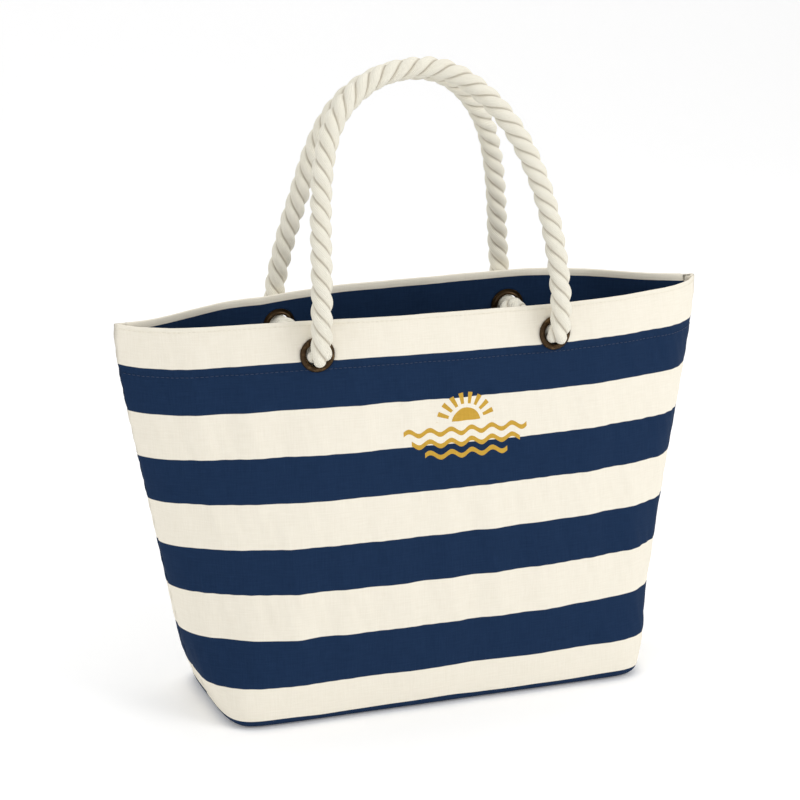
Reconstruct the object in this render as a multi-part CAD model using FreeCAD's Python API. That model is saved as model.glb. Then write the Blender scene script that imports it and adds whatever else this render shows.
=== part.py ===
import FreeCAD, Part
import math
import os

# Striped canvas beach bag with two rope handles, in millimetres.
# The origin is the centre of the base, on the floor. +X runs along the bag's width, the front
# panel faces -Y and +Z is up.

# The bag's outside
BAG_HEIGHT = 351.0
RIM_HALF_WIDTH = 268.0
RIM_HALF_DEPTH = 57.0
BASE_HALF_WIDTH = 206.0 # where the side walls would meet the floor if they didn't roll under
BASE_HALF_DEPTH = 79.5  # the same for the long walls
FLOOR_ROLL = 12.0       # the radius with which every wall rolls under the bag
RIM_FULLNESS = 3.2      # how flat the rim's long faces are: higher is flatter
BASE_FULLNESS = 9.0     # and at the floor
FULLNESS_FALL = 6.0     # how fast that flatness fades with height
RIM_SQUARENESS = 1.0    # how square the outline's ends are at the rim, where they are pointed
BASE_SQUARENESS = 2.2   # and at the floor, where they are boxed
SQUARENESS_FALL = 0.7   # how fast that squareness fades with height
RIM_TUCK = 6.0          # how far the side seams stand up straight near the rim
RIM_TUCK_FALL = 14      # how close to the rim they do so: higher is closer
LONG_WALL_FALL = 1.2    # how early the long walls narrow with height
LONG_WALL_BULGE = 3.0   # how far the long walls belly out half way up

# The cloth
CANVAS = 1.2
HEM_DEPTH = 45.0
SEAM_TAPE_WIDTH = 12.0
SEAM_TAPE_THICKNESS = 2.4
TAPE_INSET = 3.0        # from the base's end to the tape that lies beside it

# The rope
ROPE_DIAMETER = 18.0
KNOT_DIAMETER = 40.0
TAIL_LENGTH = 52.0      # from the knot's centre to the rope's tip
WHIPPING_HEIGHT = 9.0
WHIPPING_THICKNESS = 1.0
WHIPPING_FROM_TIP = 7.0

# The eyelets
EYELET_FROM_CENTRE = 108.0
EYELET_BELOW_RIM = 28.0
ROPE_TO_BORE = 1.0      # clearance round the rope
EYELET_METAL = 0.8
EYELET_FLANGE = 5.0     # how far the flange reaches past the bore
FLANGE_DOME = 1.8
WASHER_THICKNESS = 1.0
CURL_WIDTH = 2.6
CURL_HEIGHT = 0.9
BARREL_TO_HOLE = 0.05

# Clearances
SWING_GAP = 0.4         # between the rope that swings and the rope held in the eyelet
HANDLE_GAP = 0.5        # from each handle's top to the plane between the two handles
KNOT_GAP = 0.3          # between a knot and the eyelet that it bears on
TAPE_GAP = 1.0          # from the ends of the corner tapes to the long walls

# One half of a handle's route, chosen by hand: distance in from the eyelet, height above it, and
# the share of the lean towards the other handle. The other half is its mirror image.
HANDLE_ROUTE = [
    (0.0, 0.0, 0.0),
    (-0.5, 34.0, 0.02),
    (2.5, 76.0, 0.13),
    (6.5, 120.0, 0.31),
    (17.0, 158.0, 0.51),
    (36.0, 188.0, 0.72),
    (65.0, 210.0, 0.92),
    (94.0, 219.5, 1.0),
]
FOOT_STAND_OFF = 20.0   # from the hem's face to the centre of the rope that stands beside it

# How finely the cloth's outline is drawn
OUTLINE_POINTS = 33
DENSE_POINTS = 1200
ROLL_STEPS = 4
WALL_STEPS = 8
LEAN_STEP = 5.0         # the rise over which the wall's lean is measured
HOLE_DEPTH = 30.0       # how far the tool that cuts an eyelet's hole reaches, wall in the middle
CORNER_SHARE = 0.45     # how much of a straight run each rounded corner of the rope may take

rope_radius = ROPE_DIAMETER / 2
bore_radius = rope_radius + ROPE_TO_BORE
barrel_radius = bore_radius + EYELET_METAL
flange_radius = bore_radius + EYELET_FLANGE
hem_bottom = BAG_HEIGHT - HEM_DEPTH
eyelet_z = BAG_HEIGHT - EYELET_BELOW_RIM
nodes = {}


def half_width(z):
    """The bag's half width at the side seam, at a height."""
    t = z / BAG_HEIGHT
    spread = (RIM_HALF_WIDTH + RIM_TUCK - BASE_HALF_WIDTH) * t
    return BASE_HALF_WIDTH + spread - RIM_TUCK * t ** RIM_TUCK_FALL


def half_depth(z):
    """The bag's half depth at its middle, at a height."""
    t = min(z / BAG_HEIGHT, 1.0)
    belly = LONG_WALL_BULGE * math.sin(math.pi * t)
    return RIM_HALF_DEPTH + (BASE_HALF_DEPTH - RIM_HALF_DEPTH) * (1 - t) ** LONG_WALL_FALL + belly


def curve(a, b, fullness, squareness, count):
    """Points of y = -b (1 - |x/a|^fullness)^(1/squareness), from the left seam to the right one."""
    points = []
    for i in range(count + 1):
        turn = math.pi * i / count
        c = math.cos(turn)
        s = max(math.sin(turn), 0.0)
        x = -math.copysign(abs(c) ** (2 / fullness), c) * a
        points.append((x, -b * s ** (2 / squareness)))
    return points


def length_of(points):
    return sum(math.dist(p, q) for p, q in zip(points, points[1:]))


def outline(z):
    """The front wall's outline at a height, before it rolls under. It is boxed at the floor, and
    its corners soften on the way up to a rim whose ends are pointed at the seams."""
    down = 1 - z / BAG_HEIGHT
    fullness = RIM_FULLNESS + (BASE_FULLNESS - RIM_FULLNESS) * down ** FULLNESS_FALL
    squareness = RIM_SQUARENESS + (BASE_SQUARENESS - RIM_SQUARENESS) * down ** SQUARENESS_FALL
    return curve(half_width(z), half_depth(z), fullness, squareness, DENSE_POINTS)


def moved_in(points, distance):
    """An outline moved inwards by a distance, and cut off where it reaches the seam plane."""
    moved = []
    for i in range(1, len(points) - 1):
        (x0, y0), (x1, y1) = points[i - 1], points[i + 1]
        span = math.hypot(x1 - x0, y1 - y0)
        if span > 0:
            x = points[i][0] - (y1 - y0) / span * distance
            y = points[i][1] + (x1 - x0) / span * distance
            if y < 0:
                moved.append((x, y))
    ends = []
    for (x0, y0), (x1, y1) in ((moved[1], moved[0]), (moved[-2], moved[-1])):
        slope = (x1 - x0) / (y1 - y0) if y1 != y0 else 0.0
        ends.append((x1 - slope * y1, 0.0))
    return [ends[0]] + moved + [ends[1]]


def spaced(points, count):
    """The same outline with its points evenly spaced."""
    total = length_of(points)
    places = [total * i / (count - 1) for i in range(count)]
    result = [points[0]]
    run = 0.0
    at = 1
    for place in places[1:-1]:
        while run + math.dist(points[at - 1], points[at]) < place:
            run += math.dist(points[at - 1], points[at])
            at += 1
        p, q = points[at - 1], points[at]
        share = (place - run) / math.dist(p, q)
        result.append((p[0] + (q[0] - p[0]) * share, p[1] + (q[1] - p[1]) * share))
    return result + [points[-1]]


def skin(z, inset):
    """The front wall's outline at a height, that far inside its outer face, rolled under at the
    floor."""
    radius = FLOOR_ROLL - inset
    above = max(FLOOR_ROLL - z, 0.0)
    distance = inset + radius - math.sqrt(max(radius ** 2 - above ** 2, 0.0))
    return moved_in(outline(z), distance) if distance > 0 else outline(z)


def levels(inset, top):
    """The heights at which a skin is drawn: finely over the roll, then evenly up to the top."""
    radius = FLOOR_ROLL - inset
    roll = [inset + radius * (1 - math.cos(math.pi / 2 * i / ROLL_STEPS)) for i in range(ROLL_STEPS)]
    return roll + [FLOOR_ROLL + (top - FLOOR_ROLL) * i / WALL_STEPS for i in range(WALL_STEPS + 1)]


def ring(z, inset):
    """The whole bag's closed outline at a height, as two smooth edges that meet at the seams."""
    points = spaced(skin(z, inset), OUTLINE_POINTS)
    edges = []
    for side in (1, -1):
        spline = Part.BSplineCurve()
        spline.interpolate([FreeCAD.Vector(x, side * y, z) for x, y in points])
        edges.append(spline.toShape())
    return Part.Wire(edges)


def body_between(heights, inset):
    return Part.makeLoft([ring(z, inset) for z in heights], True, False)


def box(x0, x1, y0, y1, z0, z1):
    return Part.makeBox(x1 - x0, y1 - y0, z1 - z0, FreeCAD.Vector(x0, y0, z0))


def wall_at(x, z, inset):
    """The front wall's y at a place, that far inside its outer face, and its slope across the bag."""
    points = skin(z, inset)
    for p, q in zip(points, points[1:]):
        if p[0] <= x <= q[0]:
            slope = (q[1] - p[1]) / (q[0] - p[0])
            return p[1] + slope * (x - p[0]), slope
    raise ValueError("no wall there")


def placed(shape, x, y, z, turn, lean, flip):
    """A part made along -Y at the origin, leant and turned to the wall that it sits on, and moved
    to the front or the back."""
    copy = shape.copy()
    copy.rotate(FreeCAD.Vector(0, 0, 0), FreeCAD.Vector(1, 0, 0), lean)
    copy.rotate(FreeCAD.Vector(0, 0, 0), FreeCAD.Vector(0, 0, 1), turn)
    copy.translate(FreeCAD.Vector(x, y, z))
    if flip:
        copy.rotate(FreeCAD.Vector(0, 0, 0), FreeCAD.Vector(0, 0, 1), 180)
    return copy


def turned(profile):
    """A closed profile of (radius, distance along -Y) corners and arcs, turned round the Y axis."""
    edges = []
    for kind, *points in profile:
        ends = [FreeCAD.Vector(r, -s, 0) for r, s in points]
        piece = Part.Arc(*ends) if kind == "arc" else Part.LineSegment(*ends)
        edges.append(piece.toShape())
    face = Part.Face(Part.Wire(edges))
    return face.revolve(FreeCAD.Vector(0, 0, 0), FreeCAD.Vector(0, 1, 0), 360)


def rounded_path(points):
    """Straight runs joined by tangent arcs, each as large as its two runs allow."""
    edges = []
    radii = []
    start = points[0]
    for before, corner, after in zip(points, points[1:], points[2:]):
        back = before - corner
        ahead = after - corner
        cut = CORNER_SHARE * min(back.Length, ahead.Length)
        turn = math.pi - back.getAngle(ahead)
        radius = cut / math.tan(turn / 2)
        enter = corner + back.normalize() * cut
        leave = corner + ahead.normalize() * cut
        inward = (enter + leave) / 2 - corner
        middle = corner + inward.normalize() * (radius / math.cos(turn / 2) - radius)
        edges.append(Part.LineSegment(start, enter).toShape())
        edges.append(Part.Arc(enter, middle, leave).toShape())
        radii.append(radius)
        start = leave
    edges.append(Part.LineSegment(start, points[-1]).toShape())
    return Part.Wire(edges), radii


# ---- The canvas: two panels, each one long wall, half of both side walls and half of the base ----

outer = body_between(levels(0.0, hem_bottom) + [eyelet_z, BAG_HEIGHT], 0.0)
cavity = body_between(levels(CANVAS, hem_bottom), CANVAS)
hem_cavity = body_between([hem_bottom, eyelet_z, BAG_HEIGHT], 2 * CANVAS)
shell = outer.cut(cavity).cut(hem_cavity)

wall_y, wall_slope = wall_at(EYELET_FROM_CENTRE, eyelet_z, CANVAS)
wall_turn = math.degrees(math.atan(wall_slope))
wall_rise = wall_at(EYELET_FROM_CENTRE, eyelet_z + LEAN_STEP, CANVAS)[0] - wall_y
wall_lean = -math.degrees(math.atan(wall_rise / LEAN_STEP))
# Left and right are +X's sides on both faces; the back's eyelets are the front's, turned round Z
eyelets = [
    ("front", "left", -EYELET_FROM_CENTRE, -1, False),
    ("front", "right", EYELET_FROM_CENTRE, 1, False),
    ("back", "right", -EYELET_FROM_CENTRE, -1, True),
    ("back", "left", EYELET_FROM_CENTRE, 1, True),
]

wide = 2 * RIM_HALF_WIDTH
halves = {
    "front": box(-wide, wide, -wide, 0, -CANVAS, BAG_HEIGHT + CANVAS),
    "back": box(-wide, wide, 0, wide, -CANVAS, BAG_HEIGHT + CANVAS),
}
outward = FreeCAD.Vector(0, -1, 0)
hole_start = FreeCAD.Vector(0, HOLE_DEPTH / 2, 0)
hole = Part.makeCylinder(barrel_radius + BARREL_TO_HOLE, HOLE_DEPTH, hole_start, outward)
for face in ("front", "back"):
    panel = shell.common(halves[face])
    for name, hand, x, side, flip in eyelets:
        if name == face:
            panel = panel.cut(placed(hole, x, wall_y, eyelet_z, side * wall_turn, wall_lean, flip))
    nodes[face + "_panel"] = panel

# ---- Seam tapes, inside: one up each side seam, one along the base and one at each base end ----

tape_half = SEAM_TAPE_THICKNESS / 2
tape_bottom = CANVAS + SEAM_TAPE_THICKNESS
tape_levels = [tape_bottom] + [z for z in levels(CANVAS, hem_bottom) if z > 2 * tape_bottom]
for side, hand in ((-1, "left"), (1, "right")):
    wires = []
    for z in tape_levels:
        far = skin(z, CANVAS)[-1][0]
        near = far - SEAM_TAPE_WIDTH
        corners = [(near, -tape_half), (far, -tape_half), (far, tape_half), (near, tape_half)]
        corners.append(corners[0])
        wires.append(Part.makePolygon([FreeCAD.Vector(side * x, y, z) for x, y in corners]))
    tape = Part.makeLoft(wires, True, True)
    nodes[hand + "_seam_tape"] = tape.cut(shell)

base_end = BASE_HALF_WIDTH - FLOOR_ROLL - SEAM_TAPE_WIDTH - TAPE_INSET
for side, hand in ((-1, "left"), (1, "right")):
    ends = sorted((side * base_end, side * (base_end - SEAM_TAPE_WIDTH)))
    depth = -max(wall_at(base_end, z, CANVAS)[0] for z in (CANVAS, tape_bottom)) - TAPE_GAP
    nodes[hand + "_corner_tape"] = box(*ends, -depth, depth, CANVAS, tape_bottom)
inner_end = base_end - SEAM_TAPE_WIDTH
half_tape = SEAM_TAPE_WIDTH / 2
nodes["base_seam_tape"] = box(-inner_end, inner_end, -half_tape, half_tape, CANVAS, tape_bottom)

# ---- Eyelets: an outer flange and barrel, curled over a washer inside ----

cloth = CANVAS          # half of the hem's two layers, on each side of its middle
washer_back = -cloth - WASHER_THICKNESS
eyelet = turned([
    ("line", (bore_radius, washer_back - CURL_HEIGHT), (bore_radius, cloth + FLANGE_DOME / 2)),
    ("arc", (bore_radius, cloth + FLANGE_DOME / 2), ((bore_radius + flange_radius) / 2, cloth + FLANGE_DOME),
     (flange_radius, cloth)),
    ("line", (flange_radius, cloth), (barrel_radius, cloth)),
    ("line", (barrel_radius, cloth), (barrel_radius, washer_back)),
    ("line", (barrel_radius, washer_back), (bore_radius + CURL_WIDTH, washer_back)),
    ("arc", (bore_radius + CURL_WIDTH, washer_back), (bore_radius + CURL_WIDTH / 2, washer_back - CURL_HEIGHT),
     (bore_radius, washer_back - CURL_HEIGHT)),
])
washer = turned([
    ("line", (barrel_radius + BARREL_TO_HOLE, -cloth), (flange_radius, -cloth)),
    ("line", (flange_radius, -cloth), (flange_radius, washer_back)),
    ("line", (flange_radius, washer_back), (barrel_radius + BARREL_TO_HOLE, washer_back)),
    ("line", (barrel_radius + BARREL_TO_HOLE, washer_back), (barrel_radius + BARREL_TO_HOLE, -cloth)),
])
for face, hand, x, side, flip in eyelets:
    nodes[f"{face}_{hand}_eyelet"] = placed(eyelet, x, wall_y, eyelet_z, side * wall_turn, wall_lean, flip)
    nodes[f"{face}_{hand}_washer"] = placed(washer, x, wall_y, eyelet_z, side * wall_turn, wall_lean, flip)

# ---- Rope ends: the rope held in the eyelet, its stopper knot inside and its whipped tail ----

foot_y = wall_y - cloth - FOOT_STAND_OFF
knot_radius = KNOT_DIAMETER / 2
curl_face = wall_y - (washer_back - CURL_HEIGHT)
tilt_room = flange_radius * math.tan(math.radians(math.hypot(wall_turn, wall_lean)))
knot_y = curl_face + tilt_room + KNOT_GAP + math.sqrt(knot_radius ** 2 - (bore_radius + CURL_WIDTH / 2) ** 2)
stub_length = knot_y - (foot_y + rope_radius + SWING_GAP)
tip_round = rope_radius / 2
stub = Part.makeCylinder(rope_radius, stub_length, FreeCAD.Vector(0, knot_y, 0), outward)
knot = Part.makeSphere(knot_radius, FreeCAD.Vector(0, knot_y, 0))
down = FreeCAD.Vector(0, 0, -1)
tail = Part.makeCylinder(rope_radius, TAIL_LENGTH, FreeCAD.Vector(0, knot_y, 0), down)
tail = tail.makeFillet(tip_round, [e for e in tail.Edges if e.BoundBox.ZMax < -TAIL_LENGTH / 2])
rope_end = stub.fuse(knot).fuse(tail).removeSplitter()
whip_top = -TAIL_LENGTH + WHIPPING_FROM_TIP + WHIPPING_HEIGHT
whip_place = FreeCAD.Vector(0, knot_y, whip_top)
whipping = Part.makeCylinder(rope_radius + WHIPPING_THICKNESS, WHIPPING_HEIGHT, whip_place, down)
whipping = whipping.cut(Part.makeCylinder(rope_radius, WHIPPING_HEIGHT, whip_place, down))
for face, hand, x, side, flip in eyelets:
    nodes[f"{face}_{hand}_rope_end"] = placed(rope_end, x, 0, eyelet_z, 0, 0, flip)
    nodes[f"{face}_{hand}_whipping"] = placed(whipping, x, 0, eyelet_z, 0, 0, flip)

# ---- Rope handles: each swings about a line through its two feet ----

top_y = -rope_radius - HANDLE_GAP
half = []
for dx, dz, lean in HANDLE_ROUTE:
    half.append((EYELET_FROM_CENTRE - dx, foot_y + (top_y - foot_y) * lean, eyelet_z + dz))
route = [FreeCAD.Vector(-x, y, z) for x, y, z in half]
route += [FreeCAD.Vector(x, y, z) for x, y, z in reversed(half)]
path, radii = rounded_path(route)
section = Part.Wire(Part.makeCircle(rope_radius, route[0], route[1] - route[0]))
arch = path.makePipeShell([section], True, False)
print("handle radii:", [round(r) for r in radii], "mm; path", round(path.Length), "mm")
straight_volume = math.pi * rope_radius ** 2 * path.Length
print("tube volume over section times length:", round(arch.Volume / straight_volume, 4))
for foot in (route[0], route[-1]):
    arch = arch.fuse(Part.makeSphere(rope_radius, foot))
for face, flip in (("front", False), ("back", True)):
    nodes[face + "_handle_rope"] = placed(arch, 0, 0, 0, 0, 0, flip)

# ---- Write one file per piece ----

os.makedirs("parts", exist_ok=True)
for name, shape in nodes.items():
    solids = shape.Solids
    print(name, "solids", len(solids), "volume", round(shape.Volume), "valid", shape.isValid())
    shape = solids[0] if len(solids) == 1 else Part.makeCompound(solids)
    shape.exportStep(os.path.join("parts", name + ".step"))
print("foot of the front handle: y", round(foot_y, 3), "z", round(eyelet_z, 3))
print("eyelets turned", round(wall_turn, 2), "and leant", round(wall_lean, 2), "degrees")
print("knot centre y:", round(knot_y, 2), "wall y:", round(wall_y, 2))
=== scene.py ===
# %% [markdown]
# # A striped canvas beach bag
# The bag is sewn from two canvas panels, hangs from two thick ropes, and stands on a boxed base.
# Its sizes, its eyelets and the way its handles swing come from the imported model, which is loaded
# first and never changed. What this file adds is cloth, rope, thread and metal.

# %% Load the frame
import bmesh
import bpy
import math
import numpy as np
from mathutils import Matrix, Vector


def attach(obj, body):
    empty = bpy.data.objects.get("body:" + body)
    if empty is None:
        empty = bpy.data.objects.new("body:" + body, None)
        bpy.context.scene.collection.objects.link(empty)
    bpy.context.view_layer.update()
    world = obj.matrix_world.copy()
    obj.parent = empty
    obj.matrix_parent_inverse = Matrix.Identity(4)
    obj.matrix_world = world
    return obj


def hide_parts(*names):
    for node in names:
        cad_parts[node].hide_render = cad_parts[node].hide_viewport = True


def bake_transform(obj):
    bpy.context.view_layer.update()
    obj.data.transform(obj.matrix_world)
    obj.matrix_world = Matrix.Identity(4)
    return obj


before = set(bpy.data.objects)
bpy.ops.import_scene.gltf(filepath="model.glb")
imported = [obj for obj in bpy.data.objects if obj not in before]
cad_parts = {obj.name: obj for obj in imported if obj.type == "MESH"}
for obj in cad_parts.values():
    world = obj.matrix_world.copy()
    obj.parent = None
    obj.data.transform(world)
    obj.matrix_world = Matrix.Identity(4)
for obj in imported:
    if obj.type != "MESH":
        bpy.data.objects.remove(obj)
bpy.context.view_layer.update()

# %% [markdown]
# ## Camera, floor and light
# A product shot of a bag uses a long lens from a little above, and light that comes from
# everywhere. The backdrop is one sheet that runs along the floor and curves up behind.

# %% Camera
AZIMUTH = math.radians(-20.19)
ELEVATION = math.radians(17.6)
CAMERA_DISTANCE = 2.287
AIM = Vector((0, 0, 0.1851))
cam_data = bpy.data.cameras.new("camera")
cam_data.lens = 115.98
cam_data.shift_x = -0.0193
cam_data.shift_y = 0.0991
camera = bpy.data.objects.new("camera", cam_data)
bpy.context.scene.collection.objects.link(camera)
back = Vector((math.sin(AZIMUTH) * math.cos(ELEVATION), -math.cos(AZIMUTH) * math.cos(ELEVATION),
               math.sin(ELEVATION)))
camera.location = AIM + back * CAMERA_DISTANCE
camera.rotation_euler = (-back).to_track_quat("-Z", "Y").to_euler()
bpy.context.scene.camera = camera
print("camera at", tuple(round(v, 3) for v in camera.location))

# %% [markdown]
# The colours are kept as they are painted, so that cream stays cream on a white sheet. The sheet
# is one plane whose far edge is extruded up and bevelled into a curve.

# %% Backdrop
def new_object(name, bm, material=None, smooth=True):
    """A mesh object made from a bmesh, at the origin."""
    mesh = bpy.data.meshes.new(name)
    for face in bm.faces:
        face.smooth = smooth
    bm.to_mesh(mesh)
    bm.free()
    obj = bpy.data.objects.new(name, mesh)
    bpy.context.scene.collection.objects.link(obj)
    if material:
        mesh.materials.append(material)
    return obj


def plain_material(name, colour, roughness):
    """A principled material with one colour, and its node tree's handles."""
    material = bpy.data.materials.new(name)
    material.use_nodes = True
    shader = material.node_tree.nodes["Principled BSDF"]
    shader.inputs["Base Color"].default_value = (*colour, 1)
    shader.inputs["Roughness"].default_value = roughness
    return material, material.node_tree, shader


bpy.context.scene.view_settings.view_transform = "Standard"
paper, _, paper_shader = plain_material("backdrop paper", (1.0, 1.0, 1.0), 1.0)
paper_shader.inputs["Emission Color"].default_value = (1.0, 1.0, 1.0, 1)
paper_shader.inputs["Emission Strength"].default_value = 0.10
bm = bmesh.new()
bmesh.ops.create_grid(bm, x_segments=1, y_segments=1, size=4.0)
far_edge = [e for e in bm.edges if all(v.co.y > 3.9 for v in e.verts)]
raised = bmesh.ops.extrude_edge_only(bm, edges=far_edge)
lifted = [g for g in raised["geom"] if isinstance(g, bmesh.types.BMVert)]
bmesh.ops.translate(bm, verts=lifted, vec=(0, 0, 5.0))
fold = [e for e in bm.edges if all(v.co.y > 3.9 and v.co.z < 0.01 for v in e.verts)]
bmesh.ops.bevel(bm, geom=fold, offset=2.0, segments=16, profile=0.5, affect="EDGES", material=-1)
backdrop = new_object("backdrop", bm, paper)
print("backdrop faces:", len(backdrop.data.polygons))

# %% Soft lights
world = bpy.data.worlds.new("studio")
world.use_nodes = True
world.node_tree.nodes["Background"].inputs["Color"].default_value = (1.0, 1.0, 1.0, 1)
world.node_tree.nodes["Background"].inputs["Strength"].default_value = 0.72
bpy.context.scene.world = world


def softbox(name, place, aim, size, power):
    """A square area light that looks at a point."""
    data = bpy.data.lights.new(name, "AREA")
    data.shape = "SQUARE"
    data.size = size
    data.energy = power
    light = bpy.data.objects.new(name, data)
    bpy.context.scene.collection.objects.link(light)
    light.location = place
    light.rotation_euler = (Vector(aim) - Vector(place)).to_track_quat("-Z", "Y").to_euler()
    return light


softbox("key", (1.9, -1.9, 1.7), (0, 0, 0.2), 1.5, 25)
softbox("fill", (-2.2, -1.6, 1.2), (0, 0, 0.2), 1.8, 6.5)
softbox("top", (0.2, 0.3, 2.6), (0, 0, 0.2), 1.8, 14)

# %% [markdown]
# ## The shape of the cloth
# Each panel is bent round one long wall and half of both side walls. So the wall is one curve per
# height: boxed at the floor, softer in its corners on the way up, and pointed at the rim where
# two panels meet in a seam. Height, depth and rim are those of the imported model, in metres. At
# the floor the ends are drawn in a little, so that the corners are crisp, and the cloth stands
# fuller at one end of each panel than at the other, as a soft bag does.

# %% Outline of the wall
HEIGHT = 0.351
RIM_HALF = (0.268, 0.057)
BASE_HALF = (0.206, 0.0795)
ROLL = 0.012
HEM = 0.045
FLOOR_TUCK = 0.013
BOXED_BELOW = 0.035
TURNS = np.linspace(0, math.pi, 1201)


def outline_curve(half_width, half_depth, fullness, squareness, left_extra=0.0, right_extra=0.0):
    """Points of one wall's outline from the left seam to the right one. A positive extra makes that
    end fuller."""
    c = np.cos(TURNS)
    s = np.clip(np.sin(TURNS), 0, 1)
    near_end = np.clip((np.abs(c) - 0.35) / 0.5, 0, 1)
    fullness = fullness + near_end ** 2 * (3 - 2 * near_end) * np.where(c > 0, left_extra, right_extra)
    x = -np.sign(c) * np.abs(c) ** (2 / fullness) * half_width
    return np.stack([x, -half_depth * s ** (2 / squareness)], axis=1)


def curve_length(points):
    return np.linalg.norm(np.diff(points, axis=0), axis=1).sum()


def wall_outline(z):
    """The outline at a height. Its corners are sharpest where the base is sewn in."""
    t = min(max(z / HEIGHT, 0.0), 1.0)
    boxed = math.exp(-(z / BOXED_BELOW) ** 2)
    half_width = BASE_HALF[0] + (RIM_HALF[0] + 0.006 - BASE_HALF[0]) * t - 0.006 * t ** 14
    half_width = half_width - FLOOR_TUCK * boxed
    half_depth = RIM_HALF[1] + (BASE_HALF[1] - RIM_HALF[1]) * (1 - t) ** 1.2 + 0.003 * math.sin(math.pi * t)
    squareness = 1 + 1.2 * (1 - t) ** 0.7 + 2.5 * boxed
    fullness = 3.2 + 5.8 * (1 - t) ** 6 + 12 * boxed
    left_extra = -0.5 - 0.6 * (1 - t) ** 2
    right_extra = 2.0 * (1 - math.exp(-(z / 0.06) ** 2))
    return outline_curve(half_width, half_depth, fullness, squareness, left_extra, right_extra)


# %% Points on the wall
def evenly_spaced(points, shares):
    """Places along an outline at shares of its length, and the outward normals there."""
    steps = np.linalg.norm(np.diff(points, axis=0), axis=1)
    run = np.concatenate([[0], np.cumsum(steps)])
    places = np.stack([np.interp(shares * run[-1], run, points[:, k]) for k in (0, 1)], axis=1)
    ahead = np.stack([np.interp((shares + 0.004) * run[-1], run, points[:, k]) for k in (0, 1)], axis=1)
    behind = np.stack([np.interp((shares - 0.004) * run[-1], run, points[:, k]) for k in (0, 1)], axis=1)
    tangent = ahead - behind
    tangent /= np.linalg.norm(tangent, axis=1)[:, None]
    return places, np.stack([tangent[:, 1], -tangent[:, 0]], axis=1)


def wall_points(z, shares, inset):
    """Places on the wall at a height, moved in from its outer face, and their outward normals."""
    places, normals = evenly_spaced(wall_outline(z), shares)
    places = places - normals * inset
    places[:, 1] = np.minimum(places[:, 1], -inset)
    return places, normals


EYELET_X, EYELET_Z = 0.108, 0.323
EYELETS = [(-EYELET_X, EYELET_Z), (EYELET_X, EYELET_Z)]
level = wall_points(EYELET_Z, np.linspace(0, 1, 281), 0.0)[0]
print("wall at an eyelet, y:", round(float(np.interp(EYELET_X, level[:, 0], level[:, 1])), 4))

# %% [markdown]
# ## Cords first: the two rope handles
# A rope handle is one length of three-strand rope. It comes out of a knot, goes through one
# eyelet, up, over and down, and in at the other eyelet. A curve with a round bevel would give a
# smooth hose, so the curve is only read for its line. Round that line a grid is wrapped whose
# section is three strands pressed together, turning once in every lay.

# %% A line through a few points
def smooth_line(points, step):
    """Points at a fixed step along a NURBS curve with the given control points."""
    curve = bpy.data.curves.new("route", "CURVE")
    curve.dimensions = "3D"
    curve.resolution_u = 24
    spline = curve.splines.new("NURBS")
    spline.points.add(len(points) - 1)
    for point, place in zip(spline.points, points):
        point.co = (*place, 1)
    spline.order_u = 3
    spline.use_endpoint_u = True
    holder = bpy.data.objects.new("route", curve)
    line = bpy.data.meshes.new_from_object(holder)
    read = np.array([v.co[:] for v in line.vertices])
    bpy.data.objects.remove(holder)
    bpy.data.curves.remove(curve)
    bpy.data.meshes.remove(line)
    run = np.concatenate([[0], np.cumsum(np.linalg.norm(np.diff(read, axis=0), axis=1))])
    places = np.linspace(0, run[-1], max(int(round(run[-1] / step)), 4) + 1)
    return np.stack([np.interp(places, run, read[:, k]) for k in range(3)], axis=1)


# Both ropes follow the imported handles. The front one is a full round arch. The back one is
# narrower, and its left leg leans in, because cotton rope never sets quite evenly.
FRONT_POINTS = [
    (-0.108, -0.042, 0.323), (-0.108, -0.053, 0.323), (-0.108, -0.0672, 0.322), (-0.1085, -0.0705, 0.355),
    (-0.1065, -0.0655, 0.397), (-0.1035, -0.0540, 0.443), (-0.096, -0.0395, 0.485), (-0.079, -0.0240, 0.520),
    (-0.045, -0.0115, 0.544), (-0.012, -0.0070, 0.5515), (0.020, -0.0072, 0.5508), (0.046, -0.0145, 0.537),
    (0.070, -0.0300, 0.511), (0.087, -0.0430, 0.478), (0.0985, -0.0550, 0.440), (0.104, -0.0650, 0.400),
    (0.1078, -0.0705, 0.355), (0.108, -0.0672, 0.322), (0.108, -0.053, 0.323), (0.108, -0.042, 0.323)]
BACK_POINTS = [
    (-0.108, 0.042, 0.323), (-0.108, 0.053, 0.323), (-0.108, 0.0672, 0.322), (-0.107, 0.0705, 0.350),
    (-0.097, 0.0670, 0.396), (-0.085, 0.0570, 0.441), (-0.076, 0.0460, 0.480), (-0.060, 0.0310, 0.518),
    (-0.032, 0.0185, 0.541), (0.0, 0.0140, 0.548), (0.032, 0.0180, 0.542), (0.060, 0.0295, 0.521),
    (0.081, 0.0420, 0.492), (0.093, 0.0535, 0.458), (0.100, 0.0620, 0.420), (0.104, 0.0695, 0.385),
    (0.107, 0.0710, 0.352), (0.108, 0.0672, 0.322), (0.108, 0.053, 0.323), (0.108, 0.042, 0.323)]
RING_STEP = 0.0021
front_line = smooth_line(FRONT_POINTS, RING_STEP)
back_line = smooth_line(BACK_POINTS, RING_STEP)


def line_length(line):
    return float(np.linalg.norm(np.diff(line, axis=0), axis=1).sum())


print("handle lines:", round(line_length(front_line), 3), "and", round(line_length(back_line), 3), "m")

# %% Frames along a line
def turned_round(points):
    """The 180 degree turn about Z that makes the back's pieces out of the front's."""
    return points * np.array([-1, -1, 1])


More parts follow.
